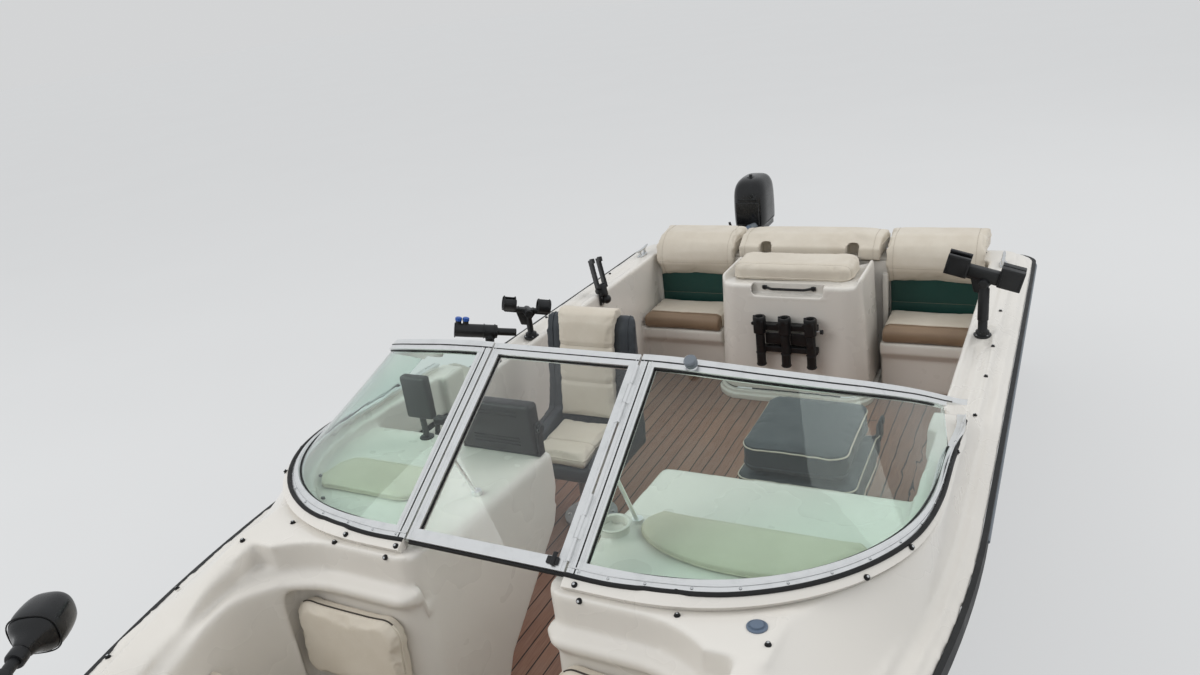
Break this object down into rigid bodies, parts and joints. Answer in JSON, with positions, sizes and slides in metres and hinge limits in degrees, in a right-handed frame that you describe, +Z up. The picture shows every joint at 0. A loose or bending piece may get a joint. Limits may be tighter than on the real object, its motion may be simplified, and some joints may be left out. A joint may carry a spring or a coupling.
{
  "type": "bowrider speedboat",
  "caption": "Open bow runabout afloat with windshield, boxed inboard engine, sterndrive, auxiliary outboard and bow trolling motor.",
  "frame": {"origin": "on the waterline at the centreline, amidships", "axes": "+Z up from the still water, bow towards -Y, port side towards +X"},
  "size_m": [2.2908, 6.1774, 1.9539],
  "materials": {
    "gelcoat_white": "glossy",
    "gelcoat_black": "glossy",
    "rail_vinyl": "satin",
    "faux_teak": "satin",
    "cast_iron_engine": "painted",
    "vinyl_cream": "satin",
    "vinyl_green": "satin",
    "vinyl_charcoal": "satin",
    "dash_vinyl": "satin",
    "window_frame_metal": "satin",
    "tinted_glass": "clear",
    "clear_glass": "clear",
    "gasket_rubber": "matte",
    "pedestal_metal": "satin",
    "black_plastic": "satin",
    "rack_plastic": "glossy",
    "stainless": "polished",
    "drive_paint": "satin",
    "bracket_metal": "satin",
    "motor_paint": "satin",
    "cowl_plastic": "glossy",
    "propeller_metal": "satin"
  },
  "bodies": {
    "boat": {"hull": "gelcoat_black", "deck": "gelcoat_white", "rub_rail": "rail_vinyl", "cockpit_sole": "faux_teak", "cockpit_liner": "gelcoat_white", "bow_liner": "gelcoat_white", "helm_console": "gelcoat_white", "port_console": "gelcoat_white", "engine_box_plinth": "gelcoat_white", "engine_block": "cast_iron_engine", "jump_seat_bases": "gelcoat_white", "aft_cushions": "vinyl_cream", "aft_panels": "vinyl_green", "windshield_frame": "window_frame_metal", "windshield_glass": "tinted_glass", "windshield_gasket": "gasket_rubber", "seat_pedestals": "pedestal_metal", "throttle": "black_plastic", "displays": "black_plastic", "dash_pads": "dash_vinyl", "bow_cushions": "vinyl_cream", "deck_fittings": "stainless", "rod_holders": "black_plastic", "drive_transom_plate": "drive_paint", "kicker_bracket": "bracket_metal", "trolling_mount": "black_plastic", "trolling_motor": "motor_paint"},
    "centre_window": {"centre_window_frame": "window_frame_metal", "centre_window_glass": "clear_glass"},
    "engine_box_lid": {"engine_box": "gelcoat_white", "engine_box_handle": "black_plastic", "engine_box_pad": "vinyl_cream", "rod_rack": "rack_plastic"},
    "helm_seat": {"helm_seat_shell": "vinyl_charcoal", "helm_seat_cushion": "vinyl_cream"},
    "passenger_seat_base": {"passenger_seat": "vinyl_charcoal"},
    "passenger_seat_back": {"passenger_backrest": "vinyl_charcoal"},
    "wheel": {"steering_wheel": "black_plastic"},
    "drive_ring": {"drive_gimbal": "drive_paint"},
    "drive": {"drive_leg": "drive_paint"},
    "drive_screw": {"drive_propeller": "propeller_metal"},
    "kicker_swivel_bracket": {"kicker_swivel": "motor_paint"},
    "kicker_motor": {"kicker_leg": "motor_paint", "kicker_cowl": "cowl_plastic"},
    "kicker_screw": {"kicker_propeller": "motor_paint"},
    "trolling_screw": {"trolling_propeller": "black_plastic"}
  },
  "joints": [
    {"name": "window_hinge", "type": "hinge", "parent": "boat", "child": "centre_window", "pos_m": [0.247, -0.77608, 0.9367], "axis": [0, 0.8549, 0.5188], "range_deg": [0, 168]},
    {"name": "engine_box_hinge", "type": "hinge", "parent": "boat", "child": "engine_box_lid", "pos_m": [0, 2.408, 0.69], "axis": [-1, 0, 0], "range_deg": [0, 55]},
    {"name": "helm_seat_swivel", "type": "hinge", "parent": "boat", "child": "helm_seat", "pos_m": [-0.56, 0.7, 0.29], "axis": [0, 0, 1], "range_deg": [-180, 180]},
    {"name": "passenger_seat_swivel", "type": "hinge", "parent": "boat", "child": "passenger_seat_base", "pos_m": [0.45, 0.7, 0.29], "axis": [0, 0, 1], "range_deg": [-180, 180]},
    {"name": "passenger_back_hinge", "type": "hinge", "parent": "passenger_seat_base", "child": "passenger_seat_back", "pos_m": [0.45, 0.962, 0.505], "axis": [-1, 0, 0], "range_deg": [0, 100]},
    {"name": "wheel_turn", "type": "hinge", "parent": "boat", "child": "wheel", "pos_m": [-0.56, 0.06, 0.69], "axis": [0, 0.8829, 0.4695], "range_deg": [-540, 540]},
    {"name": "drive_steer", "type": "hinge", "parent": "boat", "child": "drive_ring", "pos_m": [0, 2.872, 0.02], "axis": [0, 0, 1], "range_deg": [-28, 28]},
    {"name": "drive_tilt", "type": "hinge", "parent": "drive_ring", "child": "drive", "pos_m": [0, 2.896, 0.02], "axis": [1, 0, 0], "range_deg": [0, 50]},
    {"name": "drive_propeller_spin", "type": "hinge", "parent": "drive", "child": "drive_screw", "pos_m": [0, 3.3213, -0.5], "axis": [0, 1, 0], "continuous": true},
    {"name": "kicker_tilt", "type": "hinge", "parent": "boat", "child": "kicker_swivel_bracket", "pos_m": [-0.54, 3.112, 0.56], "axis": [1, 0, 0], "range_deg": [0, 65]},
    {"name": "kicker_steer", "type": "hinge", "parent": "kicker_swivel_bracket", "child": "kicker_motor", "pos_m": [-0.54, 3.164, 0.45], "axis": [0, 0, 1], "range_deg": [-40, 40]},
    {"name": "kicker_propeller_spin", "type": "hinge", "parent": "kicker_motor", "child": "kicker_screw", "pos_m": [-0.54, 3.388, -0.14], "axis": [0, 1, 0], "continuous": true},
    {"name": "trolling_propeller_spin", "type": "hinge", "parent": "boat", "child": "trolling_screw", "pos_m": [-0.3456, -2.5405, 1.01], "axis": [-0.8644, -0.5028, 0], "continuous": true}
  ],
  "couplings": [
    {"joint": "wheel_turn", "follows": "drive_steer", "ratio": -19}
  ]
}
